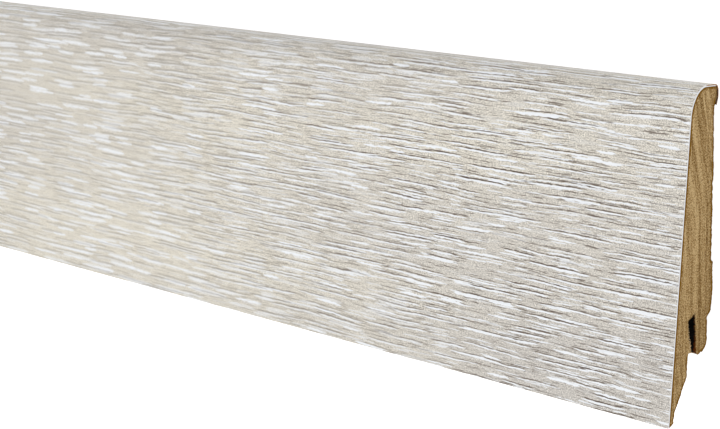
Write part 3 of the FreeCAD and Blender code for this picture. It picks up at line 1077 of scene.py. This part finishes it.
class SKIRTING_OT_fibreboard(bpy.types.Operator):
    """Adds the fibreboard core, sawn off square at both ends"""
    bl_idname = "skirting.fibreboard"
    bl_label = "Fibreboard Core"

    def execute(self, context):
        s = context.scene.skirting_section
        outline = laid_down(s, rounded(core_corners(s), FIBRE_STEP, CURVE_TURN))
        corners = range(len(core_corners(s)))
        kinds = [GLUED if corner in GLUED_CORNERS else EXPOSED for corner in corners]
        shares = {GLUED: HIDDEN_SHARE, EXPOSED: 1.0}
        mesh = section_mesh(outline, kinds, shares, [1.0] * len(kinds), RIM_WIDTH)
        board = fibreboard_material(context.scene.skirting_fibreboard, standing(s))
        core = with_nodes("fibreboard_body", mesh, swept_board_tree("Swept Core", True), {
            "Length": BOARD_LENGTH, "Map Rows": 3, "Rings Per Row": 2, "Rows Share": 0.86,
            "End Map Scale": 7.8, "Tear": 0.5 * MM, "Tear Reach": 0.9 * MM, "Fibre Pitch": 0.8 * MM,
            "Face Material": board, "Edge Material": board})
        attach(core, "root")
        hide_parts("fibreboard_core")
        return {"FINISHED"}


class SKIRTING_OT_decor_film(bpy.types.Operator):
    """Wraps the decor film round the front, the top and the head"""
    bl_idname = "skirting.decor_film"
    bl_label = "Decor Film"

    def execute(self, context):
        s = context.scene.skirting_section
        outline = laid_down(s, rounded(film_corners(s), CURVE_STEP, CURVE_TURN))
        # Its ten corners: five outside from toe to tail, and five inside on the way back
        kinds = [DECOR] * 4 + [BACKING] * 6
        rims = [0.0] * 5 + [1.0] * 5
        mesh = section_mesh(outline, kinds, {DECOR: 1.0, BACKING: HIDDEN_SHARE}, rims, 0)
        decor = decor_material(context.scene.skirting_film)
        edge = film_edge_material(context.scene.skirting_film)
        film = with_nodes("decor_film_wrap", mesh, swept_board_tree("Swept Film", False), {
            "Length": BOARD_LENGTH, "Map Rows": 4, "Rings Per Row": 2, "Rows Share": 0.95,
            "End Map Scale": 2.9, "Tear": 0.0, "Face Material": decor, "Edge Material": edge})
        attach(film, "root")
        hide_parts("decor_film")
        return {"FINISHED"}


class SKIRTING_OT_torn_fibres(bpy.types.Operator):
    """Adds the fibres that the groove cutter tore out at both ends of the clip slot"""
    bl_idname = "skirting.torn_fibres"
    bl_label = "Torn Fibres"

    def execute(self, context):
        s = context.scene.skirting_section
        wall = [corner for corner, _ in core_corners(s)[SLOT_FRONT_WALL]]
        line = laid_down(s, [(wall[0].lerp(wall[1], 0.1), 0), (wall[1], 0)])
        mesh = bpy.data.meshes.new("torn_edges")
        mesh.from_pydata([(way * (BOARD_LENGTH / 2 - TORN_INSET), point.x, point.y)
                          for way in (1, -1) for point, _ in line], [(0, 1), (2, 3)], [])
        fibres = with_nodes("torn_fibres", mesh, torn_fibre_tree(), {
            "Count": 60, "Shortest": 0.6 * MM, "Longest": 1.2 * MM, "Slimness": 0.11, "Bend": 0.25,
            "Lean": 0.5, "Spread": 0.35, "Seed": 5,
            "Material": torn_fibre_material(context.scene.skirting_fibreboard)})
        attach(fibres, "root")
        return {"FINISHED"}


class SKIRTING_OT_studio(bpy.types.Operator):
    """Adds the floor, the lamps, the world and the camera"""
    bl_idname = "skirting.studio"
    bl_label = "Studio"

    def execute(self, context):
        scene = context.scene
        floor = bpy.data.meshes.new("studio_floor")
        corners = ((-1, -1), (1, -1), (1, 1), (-1, 1))
        points = [(x * FLOOR_REACH, y * FLOOR_REACH, 0) for x, y in corners]
        floor.from_pydata(points, [], [(0, 1, 2, 3)])
        floor = bpy.data.objects.new("studio_floor", floor)
        floor.data.materials.append(floor_material())
        scene.collection.objects.link(floor)
        for name, place, width, power in (
                ("softbox_over", (0.9, -0.3, 1.6), 1.4, 9),
                ("softbox_end", (2.6, 0.5, 0.9), 1.0, 7)):
            lamp = bpy.data.lights.new(name, "AREA")
            lamp.shape = "DISK"
            lamp.size = width
            lamp.energy = power
            lamp = bpy.data.objects.new(name, lamp)
            lamp.location = place
            aim = Vector((BOARD_LENGTH / 2, 0, 0)) - Vector(place)
            lamp.rotation_euler = aim.to_track_quat("-Z", "Y").to_euler()
            scene.collection.objects.link(lamp)
        scene.world, new = emptied(bpy.data.worlds.new("studio"))
        strength = new("Mix", {0: seen_directly(new), 2: WORLD_LIGHT, 3: 1.0})
        new("OutputWorld", new("Background", (1, 1, 1, 1), strength))
        scene.view_settings.view_transform = "Standard"

        lens = bpy.data.cameras.new("camera")
        lens.lens = CAMERA_LENS
        lens.sensor_width = CAMERA_SENSOR
        lens.sensor_fit = "HORIZONTAL"
        lens.clip_start = CAMERA_CLIP * MM
        camera = bpy.data.objects.new("camera", lens)
        right, down, ahead = (Vector(axis) for axis in (CAMERA_RIGHT, CAMERA_DOWN, CAMERA_AHEAD))
        turned = Matrix((right, -down, -ahead)).transposed().to_4x4()
        camera.matrix_world = Matrix.Translation(Vector(CAMERA_PLACE) * MM) @ turned
        scene.collection.objects.link(camera)
        scene.camera = camera
        return {"FINISHED"}


class SKIRTING_PT_sidebar(bpy.types.Panel):
    """Lists the board's pieces and their sizes"""
    bl_idname = "SKIRTING_PT_sidebar"
    bl_label = "Skirting Board"
    bl_space_type = "VIEW_3D"
    bl_region_type = "UI"
    bl_category = "Skirting"

    def draw(self, context):
        for operator in OPERATORS:
            self.layout.operator(operator.bl_idname)
        for name in GROUPS:
            group = getattr(context.scene, name)
            box = self.layout.box()
            for setting in group.bl_rna.properties:
                if setting.identifier not in ("name", "rna_type"):
                    box.prop(group, setting.identifier)


GROUPS = {
    "skirting_section": SectionSizes,
    "skirting_film": FilmLook,
    "skirting_fibreboard": FibreboardLook,
}
OPERATORS = (
    SKIRTING_OT_fibreboard, SKIRTING_OT_decor_film, SKIRTING_OT_torn_fibres, SKIRTING_OT_studio)
CLASSES = (*GROUPS.values(), *OPERATORS, SKIRTING_PT_sidebar)


def register():
    for cls in CLASSES:
        bpy.utils.register_class(cls)
    for name, group in GROUPS.items():
        setattr(bpy.types.Scene, name, bpy.props.PointerProperty(type=group))


def unregister():
    for name in GROUPS:
        delattr(bpy.types.Scene, name)
    for cls in reversed(CLASSES):
        bpy.utils.unregister_class(cls)


def main():
    register()
    for operator in OPERATORS:
        module, name = operator.bl_idname.split(".")
        getattr(getattr(bpy.ops, module), name)()


if __name__ == "__main__":
    main()
